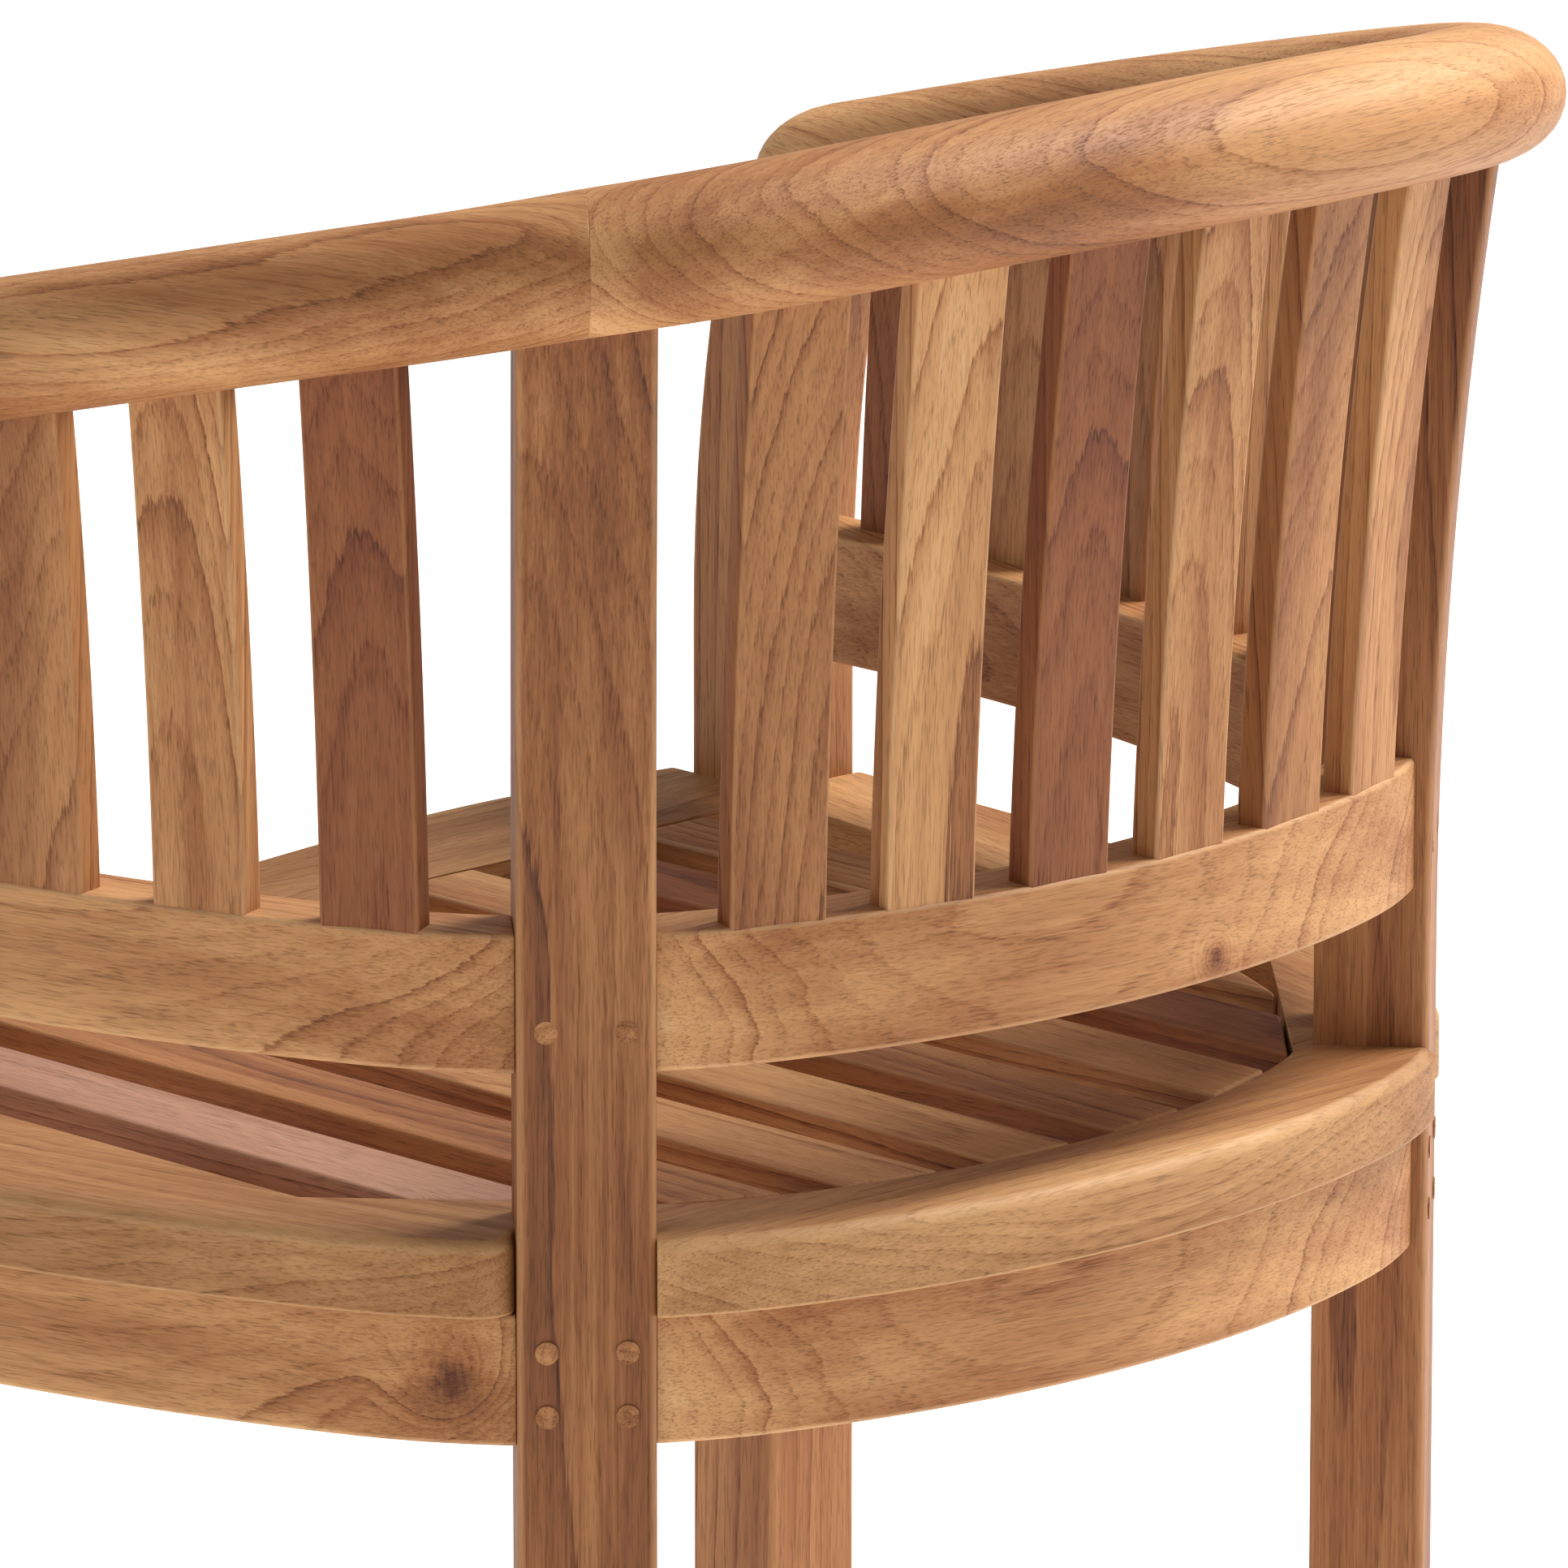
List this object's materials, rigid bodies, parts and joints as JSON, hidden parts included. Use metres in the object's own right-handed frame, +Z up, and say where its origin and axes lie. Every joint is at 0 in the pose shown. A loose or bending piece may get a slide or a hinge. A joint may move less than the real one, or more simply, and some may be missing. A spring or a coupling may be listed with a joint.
{
  "type": "garden bench",
  "caption": "Horseshoe teak garden seat: curved back and arms of upright slats under a bent top rail, round a slatted seat on four legs.",
  "frame": {"origin": "on the ground, under the middle of the whole seat's box", "axes": "+Z up, the open front faces -Y, the back is at +Y, +X is the right side seen from the front"},
  "size_m": [0.721, 0.5944, 0.82],
  "materials": {
    "leg_teak": "sanded bare teak, brown, fine straight grain with darker streaks",
    "top_rail_teak": "sanded bare teak, warm honey, broad flowing figure",
    "rail_teak": "sanded bare teak, honey to pale tan",
    "slat_teak": "sanded bare teak, mixed tones from slat to slat",
    "seat_teak": "sanded bare teak, mixed tones, some slightly purple",
    "hidden_teak": "rough-sawn teak",
    "peg_teak": "teak end grain",
    "screw_steel": "plain stainless"
  },
  "bodies": {
    "root": {"back_leg_right": "leg_teak", "back_leg_left": "leg_teak", "front_leg_right": "leg_teak", "front_leg_left": "leg_teak", "crest_rail": "top_rail_teak", "arm_rail_right": "top_rail_teak", "arm_rail_left": "top_rail_teak", "lower_rail_back": "rail_teak", "lower_rail_right": "rail_teak", "lower_rail_left": "rail_teak", "rim_back": "rail_teak", "rim_right": "rail_teak", "rim_left": "rail_teak", "rim_front": "rail_teak", "apron_back": "rail_teak", "apron_right": "rail_teak", "apron_left": "rail_teak", "apron_front": "rail_teak", "back_slat_1": "slat_teak", "back_slat_2": "slat_teak", "back_slat_3": "slat_teak", "back_slat_4": "slat_teak", "back_slat_5": "slat_teak", "back_slat_6": "slat_teak", "right_arm_slat_1": "slat_teak", "right_arm_slat_2": "slat_teak", "right_arm_slat_3": "slat_teak", "right_arm_slat_4": "slat_teak", "right_arm_slat_5": "slat_teak", "right_arm_slat_6": "slat_teak", "left_arm_slat_1": "slat_teak", "left_arm_slat_2": "slat_teak", "left_arm_slat_3": "slat_teak", "left_arm_slat_4": "slat_teak", "left_arm_slat_5": "slat_teak", "left_arm_slat_6": "slat_teak", "seat_slat_1": "seat_teak", "seat_slat_2": "seat_teak", "seat_slat_3": "seat_teak", "seat_slat_4": "seat_teak", "seat_slat_5": "seat_teak", "seat_slat_6": "seat_teak", "seat_slat_7": "seat_teak", "seat_slat_8": "seat_teak", "cleat_back": "hidden_teak", "cleat_front": "hidden_teak", "seat_bearer": "hidden_teak", "leg_pegs": "peg_teak", "rim_dowels": "peg_teak", "slat_screws": "screw_steel"}
  },
  "joints": []
}
